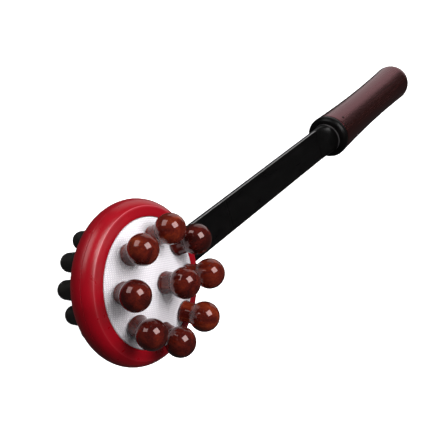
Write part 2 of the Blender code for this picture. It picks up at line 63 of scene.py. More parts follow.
# Places read from the frame.
RIM_LOW, RIM_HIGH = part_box("rim_back")
HEAD_X = (RIM_LOW.x + RIM_HIGH.x) / 2
PAD_EDGE_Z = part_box("rim_front")[1].z
CORE_BACK_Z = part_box("head_core")[0].z
RIM_BACK_Z = RIM_LOW.z
ROOT_HINGE_X = JOINT_PLACE["bar_root_flex"].x
BAR_Z = JOINT_PLACE["bar_root_flex"].z
STRIP_LOW, STRIP_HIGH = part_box("spring_strip")
HINGE_TO_FERRULE = 0.0194
FERRULE_X = ROOT_HINGE_X + HINGE_TO_FERRULE

# Shape of the head. Radii are about its axis.
GAP = 0.0003
DOME_RADIUS = 0.0760
PAD_RADIUS = 0.0371
DOME_CENTRE_Z = PAD_EDGE_Z - math.sqrt(DOME_RADIUS**2 - PAD_RADIUS**2)
CLOTH_THICKNESS = 0.00045
FOAM_THICKNESS = 0.0045
RIM_RADIUS = 0.0477
RIM_WIDEST_Z = PAD_EDGE_Z - 0.0094
RIM_PULL = (0.0475, PAD_EDGE_Z - 0.0038)
CREASE_RADIUS = 0.0434
CREASE_Z = PAD_EDGE_Z - 0.0012
RIM_BACK_RADIUS = 0.0383
CORE_RADIUS = 0.0432
CORE_TOP_Z = PAD_EDGE_Z - 0.0045
FLANGE_TOP_Z = PAD_EDGE_Z - 0.0145
FLANGE_RADIUS = 0.0350

# Turned knobs, the middle one first: each one's distance from the head's axis, and how much paler
# it is than the common wood.
KNOB_RADII = (0.0012, 0.0258, 0.0258, 0.0273, 0.0273, 0.0273, 0.0275, 0.0282, 0.0262)
KNOB_SHADES = (-0.01, -0.08, 0.09, 0.03, -0.05, -0.04, -0.04, 0.05, 0.05)
KNOB_RING_START = math.radians(28.0)
KNOB_CLEARANCE = 0.00035
KNOB_BASE_RADIUS = 0.0064
KNOB_NECK_RADIUS = 0.0060
BALL_RADIUS = 0.0088
BALL_HEIGHT = 0.0136
KNOB_BORE_RADIUS = 0.0020
KNOB_BORE_DEPTH = 0.0090

# Screws in pockets of the back ring.
CASE_SCREW_COUNT = 4
CASE_SCREW_RING = 0.0405
CASE_POCKET_RADIUS = 0.0025
CASE_SEAT_Z = PAD_EDGE_Z - 0.0160
CASE_SCREW_TOP_Z = PAD_EDGE_Z - 0.0024
CASE_SCREW_RADIUS = 0.0012
CASE_HEAD_RADIUS = 0.0022
CASE_HEAD_HEIGHT = 0.0012
CROSS_SIZE = (0.0026, 0.0006, 0.0014)

# Rubber nubs on their pad. NUB_RINGS has each ring's count, radius and first angle.
NUB_PAD_RADIUS = 0.0372
NUB_PAD_TOP_Z = CORE_BACK_Z - GAP
NUB_PAD_EDGE = 0.0005
NUB_BURIED = 0.0012
NUB_TIP_ARC_START = 4.0
MOULD_VOXEL = 0.00055
NUB_RINGS = ((12, 0.0297, math.radians(11.3)), (6, 0.0155, math.radians(30.0)), (1, 0.0, 0.0))
NUB_BASE_RADIUS = 0.0069
NUB_TIP_RADIUS = 0.0057

# Cloth: it rolls off the dome into the rim, is pulled in round each knob, and swells between them.
ROLL_START = PAD_RADIUS - 0.00036
ROLL_RADIUS = 0.0007
PULL_DEPTH = 0.00034
PULL_RADIUS = 0.0079
PULL_FADE = 0.0006
PULL_REACH = 0.014
GATHER_DEPTH = 0.00013
GATHER_RADIUS = 0.0088
GATHER_WIDTH = 0.0024
GATHER_RATE = 3.1
GATHER_SEED = 900.0
HELD_ROUND_KNOB = 0.0009
HELD_AT_RIM = 0.0012
SWELL_CAP = 0.0007
SWELL_SCALE = 20.0
SWELL_FRAMES = 20

# Bar, ferrule and grip. From BOSS_FRONT on, places are along the grip's axis from FERRULE_X.
SLEEVE_WIDTH = 0.0220
SLEEVE_THICKNESS = 0.0032
STRIP_WIDTH = 0.0170
STRIP_THICKNESS = 0.0014
SEAM_X = HEAD_X + 0.0914
SLEEVE_TIP_X = HEAD_X + 0.0450
SLEEVE_ROOT_X = ROOT_HINGE_X + 0.0035
SLOT_START_X = HEAD_X + 0.0420
SLOT_END_X = HEAD_X + 0.0520
SLOT_CLEARANCE = 0.00022
GRIP_DROP = math.radians(2.7)
GRIP_RADIUS = 0.0155
BOSS_RADIUS = 0.0110
BOSS_FRONT = -0.0055
CAP_FRONT = -0.0047
CAP_END = 0.0010
SPIGOT_RADIUS = 0.0110
SPIGOT_END = 0.0300
WAIST_AT = 0.0730
WAIST_RADIUS = 0.0138
TIP_CENTRE = 0.1268
TIP_RADIUS = 0.0147

# How far from an edge its painted highlight line reaches.
CREASE_HIGHLIGHT_REACH = 0.00035
SLEEVE_HIGHLIGHT_REACH = 0.00045
BOSS_HIGHLIGHT_REACH = 0.0005

# Faces round each turned piece.
RIM_SEGMENTS = 240
NUB_PAD_SEGMENTS = 160
CLOTH_SEGMENTS = 132
GRIP_SEGMENTS = 128
FOAM_SEGMENTS = 96
KNOB_SEGMENTS = 72
NUB_SEGMENTS = 48
SCREW_SEGMENTS = 40
FLOOR_SEGMENTS = 64

# Camera, as it stands from the head's axis and the pad's edge.
CAMERA_PLACE = (HEAD_X - 0.33827, 0.19135, PAD_EDGE_Z + 0.34088)
CAMERA_TURN = (1.018, -53.249, -25.980)
CAMERA_LENS = 73.996
SENSOR = 36.0

# Softboxes: name, direction from the head, size, power, and whether glossy surfaces mirror it.
SOFTBOX_DISTANCE = 1.2
SOFTBOXES = (
    ("key_softbox", (0.041, 0.487, 0.871), (0.80, 0.75), 15.0, True),
    ("side_softbox", (-0.384, 0.909, -0.153), (0.85, 0.68), 6.6, True),
    ("back_panel", (0.90, 0.43, -0.11), (1.3, 0.80), 2.5, True),
    ("front_fill", (-0.08, 0.16, 0.98), (1.2, 1.2), 6.0, False),
)
WORLD_GLOW = 0.045
FLOOR_GLOW = 0.96
FLOOR_COLOUR = (0.95, 0.95, 0.95, 1.0)
WHITE = (1.0, 1.0, 1.0, 1.0)
# The floor lies this far under the nubs, clear of the head when the bar bends down.
FLOOR_DROP = 0.06
FLOOR_FLAT = 5.0
FLOOR_SWEEP = 2.0
FLOOR_WALL_TOP = 8.0

# Metals.
ZINC = (0.56, 0.56, 0.53)
SPRING = (0.50, 0.51, 0.53)
DARK_PIN = (0.035, 0.026, 0.022)


def paint(mesh, material):
    """Gives the whole mesh one material."""
    mesh.materials.clear()
    if material:
        mesh.materials.append(material)


def new_object(name, mesh, material, smooth=True):
    obj = bpy.data.objects.new(name, mesh)
    bpy.context.scene.collection.objects.link(obj)
    paint(mesh, material)
    if smooth:
        mesh.polygons.foreach_set("use_smooth", [True] * len(mesh.polygons))
    return obj


def to_mesh(bm, name):
    mesh = bpy.data.meshes.new(name)
    bm.to_mesh(mesh)
    bm.free()
    return mesh


def soften(obj, angle):
    """Smooth shading that keeps edges sharper than this angle."""
    obj.data.polygons.foreach_set("use_smooth", [True] * len(obj.data.polygons))
    obj.data.set_sharp_from_angle(angle=math.radians(angle))


def apply_modifiers(obj):
    """Puts what the modifiers do into the mesh itself."""
    bpy.context.view_layer.update()
    graph = bpy.context.evaluated_depsgraph_get()
    mesh = bpy.data.meshes.new_from_object(obj.evaluated_get(graph), depsgraph=graph)
    old = obj.data
    obj.modifiers.clear()
    obj.data = mesh
    bpy.data.meshes.remove(old)


def combine(obj, other, operation="DIFFERENCE"):
    """Cuts other out of obj, or joins it on, and removes it."""
    modifier = obj.modifiers.new(operation.lower(), "BOOLEAN")
    modifier.operation = operation
    modifier.solver = "EXACT"
    modifier.object = other
    apply_modifiers(obj)
    bpy.data.objects.remove(other, do_unlink=True)


def keep_coordinates(obj, shift=(0.0, 0.0, 0.0)):
    """Stores each point's own coordinates, so that a texture stays on a piece that bends."""
    layer = obj.data.attributes.new("rest_place", "FLOAT_VECTOR", "POINT")
    offset = Vector(shift)
    for index, vertex in enumerate(obj.data.vertices):
        layer.data[index].vector = vertex.co + offset


def settle(obj, body, slot, *nodes, shift=(0.0, 0.0, 0.0)):
    """A finished piece rides on its body in place of its CAD nodes."""
    keep_coordinates(obj, shift)
    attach(obj, body)
    if nodes:
        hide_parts(*nodes)


def arc(centre, radii, start, end, count):
    """Points on an elliptical arc. Angles are in degrees, from outwards (0) to up (90)."""
    points = []
    for step in range(count + 1):
        angle = math.radians(start + (end - start) * step / count)
        across = centre[0] + radii[0] * math.cos(angle)
        points.append((across, centre[1] + radii[1] * math.sin(angle)))
    return points


def rounded(outline, radius, steps=4):
    """The outline with each inner corner replaced by a small curve of about this radius."""
    points = [Vector(point) for point in outline]
    result = [outline[0]]
    for before, corner, after in zip(points, points[1:], points[2:]):
        near = before - corner
        far = after - corner
        cut = min(radius, near.length * 0.45, far.length * 0.45)
        first = corner + near.normalized() * cut
        last = corner + far.normalized() * cut
        for step in range(steps + 1):
            share = step / steps
            point = first * (1 - share) ** 2 + corner * 2 * share * (1 - share) + last * share**2
            result.append(tuple(point))
    result.append(outline[-1])
    return result


def skin(rings, closed=False, capped=True):
    """A mesh over rings of points, each with as many points or with one at a pole.

    Closed joins the last ring to the first. Otherwise, capped fills both end rings.
    """
    bm = bmesh.new()
    made = [[bm.verts.new(point) for point in ring] for ring in rings]
    pairs = list(zip(made, made[1:]))
    if closed:
        pairs.append((made[-1], made[0]))
    segments = max(len(ring) for ring in rings)
    for upper, lower in pairs:
        for index in range(segments):
            after = (index + 1) % segments
            corners = [upper[index % len(upper)], lower[index % len(lower)]]
            if len(lower) > 1:
                corners.append(lower[after])
            if len(upper) > 1:
                corners.append(upper[after])
            if len(corners) > 2:
                bm.faces.new(corners)
    if capped and not closed:
        for ring in (made[0], made[-1]):
            if len(ring) > 1:
                bm.faces.new(ring)
    bmesh.ops.recalc_face_normals(bm, faces=bm.faces)
    return to_mesh(bm, "skin")


def lathe_mesh(outline, segments, capped=True):
    """A turned mesh from (radius, height) points. An outline clear of the axis makes a ring."""
    on_axis = 1e-7
    angles = [math.tau * index / segments for index in range(segments)]
    turns = [(math.cos(angle), math.sin(angle)) for angle in angles]
    rings = []
    for radius, height in outline:
        if radius < on_axis:
            rings.append([(0.0, 0.0, height)])
        else:
            rings.append([(radius * along, radius * across, height) for along, across in turns])
    return skin(rings, outline[0][0] > on_axis, capped)


def lathe(name, outline, segments, material, matrix):
    obj = new_object(name, lathe_mesh(outline, segments), material)
    obj.matrix_world = matrix
    return obj


def head_matrix():
    return Matrix.Translation((HEAD_X, 0.0, 0.0))


def knob_matrix(index):
    """Frame of a knob at the middle of its base, with Z along it. Index 0 is the middle knob."""
    ring_radius = KNOB_RADII[index]
    angle = 0.0
    if index > 0:
        angle = KNOB_RING_START + (index - 1) * math.tau / (len(KNOB_RADII) - 1)
    lean = math.asin(ring_radius / DOME_RADIUS)
    centre = Matrix.Translation((HEAD_X, 0.0, DOME_CENTRE_Z))
    outwards = Matrix.Rotation(angle, 4, "Z") @ Matrix.Rotation(lean, 4, "Y")
    return centre @ outwards @ Matrix.Translation((0.0, 0.0, DOME_RADIUS + KNOB_CLEARANCE))


def grip_matrix():
    """Frame of the grip: origin where its axis crosses the ferrule plane, Z towards the tip."""
    turn = Matrix.Rotation(math.pi / 2 + GRIP_DROP, 4, "Y")
    return Matrix.Translation((FERRULE_X, 0.0, BAR_Z)) @ turn


class Look:
    """A material's node graph, under one principled shader."""

    def __init__(self, name, on_cad=False, **sockets):
        self.material = bpy.data.materials.new(name)
        self.material.use_nodes = True
        self.tree = self.material.node_tree
        self.shader = self.tree.nodes["Principled BSDF"]
        for socket, value in sockets.items():
            self.shader.inputs[socket.replace("_", " ")].default_value = value
        if on_cad:
            self.place = self.add("ShaderNodeTexCoord").outputs["Object"]
        else:
            rest_place = self.add("ShaderNodeAttribute", attribute_name="rest_place")
            self.place = rest_place.outputs["Vector"]

    def add(self, kind, inputs=(), **settings):
        node = self.tree.nodes.new(kind)
        for name, value in settings.items():
            setattr(node, name, value)
        for socket, value in dict(inputs).items():
            if isinstance(value, bpy.types.NodeSocket):
                self.tree.links.new(value, node.inputs[socket])
            else:
                node.inputs[socket].default_value = value
        return node

    def stored(self, name):
        """A number that the mesh keeps at each of its points."""
        return self.add("ShaderNodeAttribute", attribute_name=name).outputs["Fac"]

    def mapped(self, scale=(1.0, 1.0, 1.0), turn=(0.0, 0.0, 0.0)):
        """Coordinates scaled along each axis, so that a noise stretches into grain."""
        inputs = {"Vector": self.place, "Scale": scale, "Rotation": turn}
        return self.add("ShaderNodeMapping", inputs).outputs["Vector"]

    def noise(self, size, detail=3.0, roughness=0.5, distortion=0.0, place=None):
        """Noise whose features are about this many metres across."""
        inputs = {
            "Vector": place or self.place,
            "Scale": 1.0 / size,
            "Detail": detail,
            "Roughness": roughness,
            "Distortion": distortion,
        }
        return self.add("ShaderNodeTexNoise", inputs).outputs["Fac"]

    def math(self, operation, first, second=0.0):
        return self.add("ShaderNodeMath", {0: first, 1: second}, operation=operation).outputs[0]

    def blend(self, first, second, share):
        """First by this share, and second by what is left of it."""
        first = self.math("MULTIPLY", first, share)
        return self.math("ADD", first, self.math("MULTIPLY", second, 1.0 - share))

    def spread(self, value, low, high, to_low, to_high):
        """Value from low..high carried onto to_low..to_high."""
        inputs = {
            "Value": value,
            "From Min": low,
            "From Max": high,
            "To Min": to_low,
            "To Max": to_high,
        }
        return self.add("ShaderNodeMapRange", inputs).outputs["Result"]

    def ramp(self, value, *stops):
        """Colour by value. Each stop is (position, colour)."""
        node = self.add("ShaderNodeValToRGB", {"Fac": value})
        elements = node.color_ramp.elements
        while len(elements) < len(stops):
            elements.new(0.5)
        for element, (position, colour) in zip(elements, stops):
            element.position = position
            element.color = (*colour, 1.0)
        return node.outputs["Color"]

    def mix(self, share, first, second):
        """The first colour, turning into the second colour as share goes from 0 to 1."""
        inputs = {0: share, 6: first, 7: (*second, 1.0)}
        return self.add("ShaderNodeMix", inputs, data_type="RGBA").outputs[2]

    def bump(self, height, distance, strength=1.0, before=None):
        inputs = {"Height": height, "Distance": distance, "Strength": strength}
        if before:
            inputs["Normal"] = before
        return self.add("ShaderNodeBump", inputs).outputs["Normal"]

    def finish(self, colour, roughness, normal):
        wanted = {"Base Color": colour, "Roughness": roughness, "Normal": normal}
        for socket, value in wanted.items():
            self.tree.links.new(value, self.shader.inputs[socket])
        return self.material


def red_plastic():
    look = Look("red_plastic", Specular_IOR_Level=0.42)
    cloud = look.noise(0.018, 2.0)
    colour = look.ramp(cloud, (0.3, (0.262, 0.0010, 0.0065)), (0.7, (0.335, 0.0015, 0.0095)))
    # Painted highlight: the red turns a paler pinkish red along the crease, most on the +Y side.
    highlight_share = look.stored("painted_edge_highlight")
    colour = look.mix(highlight_share, colour, (0.80, 0.16, 0.20))
    handling = look.noise(0.0050, 2.5, 0.5, 0.6)
    roughness = look.spread(handling, 0.30, 0.70, 0.27, 0.33)
    peel = look.bump(look.noise(0.0016, 1.0), 0.000008)
    wave = look.bump(look.noise(0.0060, 1.0), 0.00003, before=peel)
    return look.finish(colour, roughness, wave)


def lacquered_wood():
    lacquer_tint = (1.0, 0.74, 0.72, 1.0)
    look = Look("lacquered_wood", IOR=1.60, Specular_IOR_Level=0.5, Specular_Tint=lacquer_tint)
    along = look.mapped((1.0, 1.0, 0.16))
    figure = look.noise(0.0085, 2.5, 0.50, 0.8, along)
    fibre = look.noise(0.0008, 5.0, 0.65, 0.3, along)
    tone = look.blend(figure, fibre, 0.66)
    tone = look.math("ADD", tone, look.stored("shade"))
    dark = (0.022, 0.0032, 0.0026)
    colour = look.ramp(
        tone,
        (0.32, dark),
        (0.46, (0.061, 0.0058, 0.0042)),
        (0.58, (0.110, 0.0110, 0.0055)),
        (0.74, (0.225, 0.0310, 0.0085)),
    )
    pores = look.noise(0.00035, 2.0, 0.5, 0.0, look.mapped((1.0, 1.0, 0.06)))
    colour = look.mix(look.spread(pores, 0.60, 0.72, 0.0, 0.7), colour, dark)
    roughness = look.spread(fibre, 0.3, 0.7, 0.045, 0.075)
    return look.finish(colour, roughness, look.bump(fibre, 0.000002))


def white_cloth():
    look = Look("white_cloth", Sheen_Weight=0.25, Sheen_Roughness=0.5, Specular_IOR_Level=0.2)
    thread = 0.00120
    waves = []
    turned = look.mapped(turn=(0.0, 0.0, math.radians(21.0)))
    for direction in ("X", "Y"):
        inputs = {
            "Vector": turned,
            "Scale": math.tau / 20.0 / thread,
            "Distortion": 0.35,
            "Detail": 2.0,
            "Detail Scale": 0.4,
        }
        wave = look.add("ShaderNodeTexWave", inputs, bands_direction=direction)
        waves.append(wave.outputs["Fac"])
    grid = look.math("MINIMUM", *waves)
    crossing = look.math("MULTIPLY", *[look.math("SUBTRACT", wave, 0.5) for wave in waves])
    weave = look.math("ADD", look.math("POWER", grid, 0.5), look.math("MULTIPLY", crossing, 0.8))
    fuzz = look.noise(0.00018, 3.0, 0.6)
    height = look.math("ADD", weave, look.math("MULTIPLY", fuzz, 0.5))
    cloud = look.noise(0.012, 3.0)
    base = look.ramp(cloud, (0.3, (0.90, 0.87, 0.91)), (0.7, (0.95, 0.92, 0.96)))
    # Painted shade: the cloth turns grey in the grooves between its threads.
    colour = look.mix(look.spread(weave, 0.0, 0.7, 0.62, 0.0), base, (0.44, 0.41, 0.46))
    roughness = look.spread(fuzz, 0.3, 0.7, 0.80, 0.95)
    return look.finish(colour, roughness, look.bump(height, 0.00012, 0.8))


def soft_foam():
    look = Look("soft_foam", Sheen_Weight=0.2)
    inputs = {"Vector": look.place, "Scale": 1400.0}
    cells = look.add("ShaderNodeTexVoronoi", inputs).outputs["Distance"]
    colour = look.ramp(cells, (0.1, (0.52, 0.47, 0.34)), (0.6, (0.82, 0.77, 0.62)))
    roughness = look.spread(cells, 0.0, 0.8, 0.85, 0.98)
    return look.finish(colour, roughness, look.bump(cells, 0.00025))


def pale_wood():
    look = Look("pale_wood", on_cad=True)
    along = look.mapped((0.12, 1.0, 1.0))
    rings = look.noise(0.0060, 4.0, 0.6, 1.0, along)
    fibre = look.noise(0.0006, 4.0, 0.6, 0.0, along)
    colour = look.ramp(rings, (0.35, (0.36, 0.22, 0.11)), (0.65, (0.60, 0.43, 0.25)))
    roughness = look.spread(fibre, 0.3, 0.7, 0.50, 0.72)
    return look.finish(colour, roughness, look.bump(fibre, 0.00004))


def black_rubber():
    look = Look("black_rubber", Specular_IOR_Level=0.40, Sheen_Weight=0.03)
    dust = look.noise(0.0045, 5.0, 0.6)
    colour = look.ramp(dust, (0.35, (0.0058, 0.0056, 0.0044)), (0.75, (0.0115, 0.0108, 0.0088)))
    grain = look.noise(0.00040, 3.0, 0.6)
    roughness = look.spread(dust, 0.3, 0.7, 0.36, 0.52)
    fine = look.bump(grain, 0.000022)
    dents = look.bump(look.noise(0.0030, 2.0), 0.00006, before=fine)
    return look.finish(colour, roughness, dents)


def black_sleeve():
    look = Look("black_sleeve", Specular_IOR_Level=0.26)
    scuff = look.noise(0.0050, 5.0, 0.65, 0.5, look.mapped((0.35, 1.0, 1.0)))
    colour = look.ramp(scuff, (0.35, (0.0012, 0.0010, 0.0011)), (0.75, (0.0030, 0.0026, 0.0027)))
    # Painted highlight: grey along the sleeve's front edges.
    highlight_share = look.stored("painted_edge_highlight")
    colour = look.mix(highlight_share, colour, (0.300, 0.295, 0.298))
    lines = look.noise(0.00035, 3.0, 0.5, 0.0, look.mapped((0.05, 1.0, 1.0)))
    roughness = look.spread(scuff, 0.3, 0.7, 0.26, 0.40)
    return look.finish(colour, roughness, look.bump(lines, 0.000012))


def black_ferrule():
    look = Look("black_ferrule", Specular_IOR_Level=0.14)
    cloud = look.noise(0.0050, 4.0)
    colour = look.ramp(cloud, (0.35, (0.0016, 0.0015, 0.0015)), (0.7, (0.0034, 0.0030, 0.0030)))
    # Painted highlight: grey along the boss's front edge, on the upper and +Y side.
    highlight_share = look.stored("painted_edge_highlight")
    colour = look.mix(highlight_share, colour, (0.085, 0.080, 0.082))
    roughness = look.spread(look.noise(0.0020, 5.0, 0.65), 0.35, 0.7, 0.30, 0.42)
    return look.finish(colour, roughness, look.bump(look.noise(0.0012, 2.0), 0.000008))


def grip_wood():
    tint = (1.0, 0.22, 0.30, 1.0)
    look = Look("grip_wood", IOR=1.75, Specular_IOR_Level=0.9, Specular_Tint=tint)
    along = look.mapped((1.0, 1.0, 0.045))
    figure = look.noise(0.0075, 4.0, 0.6, 1.1, along)
    fibre = look.noise(0.0006, 6.0, 0.7, 0.2, along)
    tone = look.blend(figure, fibre, 0.55)
    dark = (0.0035, 0.0009, 0.0005)
    colour = look.ramp(
        tone,
        (0.34, dark),
        (0.50, (0.0085, 0.0020, 0.0010)),
        (0.66, (0.0200, 0.0050, 0.0028)),
    )
    pores = look.noise(0.00030, 2.0, 0.5, 0.0, look.mapped((1.0, 1.0, 0.035)))
    colour = look.mix(look.spread(pores, 0.58, 0.70, 0.0, 0.65), colour, dark)
    roughness = look.spread(tone, 0.3, 0.7, 0.19, 0.31)
    fine = look.bump(fibre, 0.00003)
    return look.finish(colour, roughness, look.bump(pores, 0.00003, before=fine))


def steel(name, colour, smooth, rough, on_cad=True, streak=(1.0, 1.0, 1.0)):
    """Metal with a cloudy tint and two roughnesses. Streak stretches the brushing along an axis."""
    look = Look(name, on_cad=on_cad, Metallic=1.0)
    cloud = look.noise(0.0020, 4.0)
    deep = tuple(part * 0.6 for part in colour)
    tint = look.ramp(cloud, (0.3, deep), (0.65, colour))
    lines = look.noise(0.00025, 4.0, 0.6, 0.0, look.mapped(streak))
    roughness = look.spread(cloud, 0.3, 0.7, smooth, rough)
    return look.finish(tint, roughness, look.bump(lines, 0.00001))


def make_knobs(material):
    ball = arc((0.0, BALL_HEIGHT), (BALL_RADIUS, BALL_RADIUS), 90.0, -40.0, 40)
    ball[0] = (0.0, BALL_HEIGHT + BALL_RADIUS)
    outline = ball + [
        (KNOB_NECK_RADIUS + 0.00042, 0.00750),
        (KNOB_NECK_RADIUS + 0.00016, 0.00705),
        (KNOB_NECK_RADIUS + 0.00003, 0.00655),
        (KNOB_NECK_RADIUS, 0.0060),
        (KNOB_NECK_RADIUS, 0.0036),
        (KNOB_NECK_RADIUS + 0.00003, 0.0027),
        (KNOB_NECK_RADIUS + 0.00015, 0.0018),
        (KNOB_BASE_RADIUS - 0.00006, 0.0012),
        (KNOB_BASE_RADIUS, 0.0009),
        (KNOB_BASE_RADIUS, 0.0005),
        (KNOB_BASE_RADIUS - 0.00008, 0.00022),
        (KNOB_BASE_RADIUS - 0.0003, 0.0),
        (KNOB_BORE_RADIUS, 0.0),
        (KNOB_BORE_RADIUS, KNOB_BORE_DEPTH),
        (0.0, KNOB_BORE_DEPTH),
    ]
    for index in range(len(KNOB_RADII)):
        suffix = "center" if index == 0 else str(index)
        name = "turned_knob_" + suffix
        knob = lathe(name, outline, KNOB_SEGMENTS, material, knob_matrix(index))
        soften(knob, 50.0)
        shade = knob.data.attributes.new("shade", "FLOAT", "POINT")
        shade.data.foreach_set("value", [KNOB_SHADES[index]] * len(knob.data.vertices))
        own_grain = (0.031 * index, 0.017 * index, 0.0)
        settle(knob, "head", "lacquered_wood", "knob_" + suffix, shift=own_grain)


def round_cutter(radius, low, high, place):
    """A round cutter along Z."""
    outline = [(0.0, high), (radius, high), (radius, low), (0.0, low)]
    return lathe("cutter", outline, SCREW_SEGMENTS, None, Matrix.Translation(place))


def slot_cutter():
    """The mouth in the rim that the bar goes into."""
    half_width = SLEEVE_WIDTH / 2 + SLOT_CLEARANCE
    half_height = SLEEVE_THICKNESS / 2 + SLOT_CLEARANCE
    section = rounded_section(half_width, half_height, 0.0009, 5)
    rings = []
    for x in (SLOT_START_X, SLOT_END_X):
        rings.append([(x, across, BAR_Z + up) for across, up in section])
    return new_object("cutter", skin(rings), None)


def rounded_section(half_width, half_height, radius, steps):
    """A rounded rectangle of (across, up) points."""
    points = []
    for quarter in range(4):
        side = 1.0 if quarter in (0, 3) else -1.0
        top = 1.0 if quarter in (0, 1) else -1.0
        centre = (side * (half_width - radius), top * (half_height - radius))
        points += arc(centre, (radius, radius), 90.0 * quarter, 90.0 * (quarter + 1), steps)
    return points


def rim_side(start, end, count):
    """Points down the rim's side between two heights, from its crease to its widest at most."""
    curve = CREASE_Z - 2 * RIM_PULL[1] + RIM_WIDEST_Z
    slope = RIM_PULL[1] - CREASE_Z
    points = []
    for step in range(count + 1):
        height = start + (end - start) * step / count
        share = (-slope - math.sqrt(slope**2 - curve * (CREASE_Z - height))) / curve
        radius = CREASE_RADIUS * (1 - share) ** 2 + 2 * RIM_PULL[0] * share * (1 - share)
        points.append((radius + RIM_RADIUS * share**2, height))
    return points


def mark_painted_highlight(obj, highlight_of):
    """Stores how much painted highlight each point gets, by a function of its own place."""
    layer = obj.data.attributes.new("painted_edge_highlight", "FLOAT", "POINT")
    for index, vertex in enumerate(obj.data.vertices):
        layer.data[index].value = highlight_of(vertex.co)


def crease_painted_highlight(place):
    """The rim is painted paler along its crease, most on the +Y side: a painted highlight."""
    radius = place.xy.length
    away = math.hypot(radius - CREASE_RADIUS, place.z - CREASE_Z)
    upper_side = max(0.0, place.y / radius)
    return (0.12 + 0.55 * upper_side) * max(0.0, 1.0 - away / CREASE_HIGHLIGHT_REACH)


def case_screw_places():
    places = []
    for index in range(CASE_SCREW_COUNT):
        turn = math.tau * (index + 0.5) / CASE_SCREW_COUNT
        across = CASE_SCREW_RING * math.sin(turn)
        places.append(Vector((HEAD_X + CASE_SCREW_RING * math.cos(turn), across, 0.0)))
    return places


def make_rim(material):
    bore = PAD_RADIUS + GAP
    wall = CORE_RADIUS + GAP
    groove = 0.00008
    groove_depth = 0.00010
    side = rim_side(CREASE_Z - 0.00022, BAR_Z + 0.0003, 22)
    widest = side[-1][0]
    side += [
        (widest - groove_depth * 0.3, BAR_Z + groove),
        (widest - groove_depth, BAR_Z + groove * 0.5),
    ]
    band = [
        (bore, PAD_EDGE_Z - 0.0026),
        (bore, PAD_EDGE_Z - 0.00035),
        (bore + 0.00012, PAD_EDGE_Z - 0.00012),
        (bore + 0.00040, PAD_EDGE_Z - 0.00001),
        (bore + 0.0014, PAD_EDGE_Z - 0.00010),
        (bore + 0.0030, PAD_EDGE_Z - 0.00045),
        (CREASE_RADIUS - 0.0012, CREASE_Z + 0.00022),
        (CREASE_RADIUS - 0.00028, CREASE_Z + 0.00005),
        (CREASE_RADIUS - 0.00002, CREASE_Z - 0.00006),
    ]
    inside = [(wall, BAR_Z + groove * 0.5), (wall, CORE_TOP_Z + GAP), (bore, CORE_TOP_Z + GAP)]
    front = lathe("rim_front_ring", band + side + inside, RIM_SEGMENTS, material, head_matrix())

    seat = NUB_PAD_RADIUS + GAP
    upper = rim_side(BAR_Z - 0.0003, RIM_WIDEST_Z + 0.0003, 7)
    widest = upper[0][0]
    lip = [
        (widest - groove_depth, BAR_Z - groove * 0.5),
        (widest - groove_depth * 0.3, BAR_Z - groove),
    ]
    lower_radii = (RIM_RADIUS - RIM_BACK_RADIUS, RIM_WIDEST_Z - RIM_BACK_Z)
    outline = lip + upper
    outline += arc((RIM_BACK_RADIUS, RIM_WIDEST_Z), lower_radii, 0.0, -90.0, 26)
    outline += [
        (seat + 0.0003, RIM_BACK_Z),
        (seat, RIM_BACK_Z + 0.0003),
        (seat, CORE_BACK_Z),
        (FLANGE_RADIUS, CORE_BACK_Z),
        (FLANGE_RADIUS, FLANGE_TOP_Z),
        (wall, FLANGE_TOP_Z),
        (wall, BAR_Z - groove * 0.5),
    ]
    back = lathe("rim_back_ring", outline, RIM_SEGMENTS, material, head_matrix())
    combine(front, slot_cutter())
    combine(back, slot_cutter())
    for place in case_screw_places():
        pocket = round_cutter(CASE_POCKET_RADIUS, RIM_BACK_Z - 0.002, CASE_SEAT_Z, place)
        combine(back, pocket)
    for ring, node in ((front, "rim_front"), (back, "rim_back")):
        soften(ring, 38.0)
        # Both rings carry the painted highlight along the crease.
        mark_painted_highlight(ring, crease_painted_highlight)
        settle(ring, "head", "red_plastic", node)


def make_case_screws(material):
    """Pan heads with a cross in them, in the pockets of the back ring."""
    top = CASE_SCREW_TOP_Z
    seat = CASE_SEAT_Z - GAP
    head = CASE_HEAD_HEIGHT
    outline = [
        (0.0, top),
        (0.0004, top),
        (CASE_SCREW_RADIUS, top - 0.0008),
        (CASE_SCREW_RADIUS, seat),
        (CASE_HEAD_RADIUS, seat),
        (CASE_HEAD_RADIUS, seat - head * 0.55),
        (0.0021, seat - head * 0.72),
        (0.0018, seat - head * 0.88),
        (0.0012, seat - head),
        (0.0, seat - head * 1.04),
    ]
    for index, place in enumerate(case_screw_places()):
        name = f"case_screw_head_{index + 1}"
        screw = lathe(name, outline, SCREW_SEGMENTS, material, Matrix.Translation(place))
        middle = Matrix.Translation(place + Vector((0.0, 0.0, seat - head)))
        for arm in range(2):
            bm = bmesh.new()
            bmesh.ops.create_cube(bm, size=1.0, matrix=Matrix.Diagonal((*CROSS_SIZE, 1.0)))
            cross = new_object("cutter", to_mesh(bm, "cross"), None)
            turn = math.radians(90.0 * arm + 31.0 * index)
            cross.matrix_world = middle @ Matrix.Rotation(turn, 4, "Z")
            combine(screw, cross)
        soften(screw, 30.0)
        settle(screw, "head", "screw_steel", f"case_screw_{index + 1}")


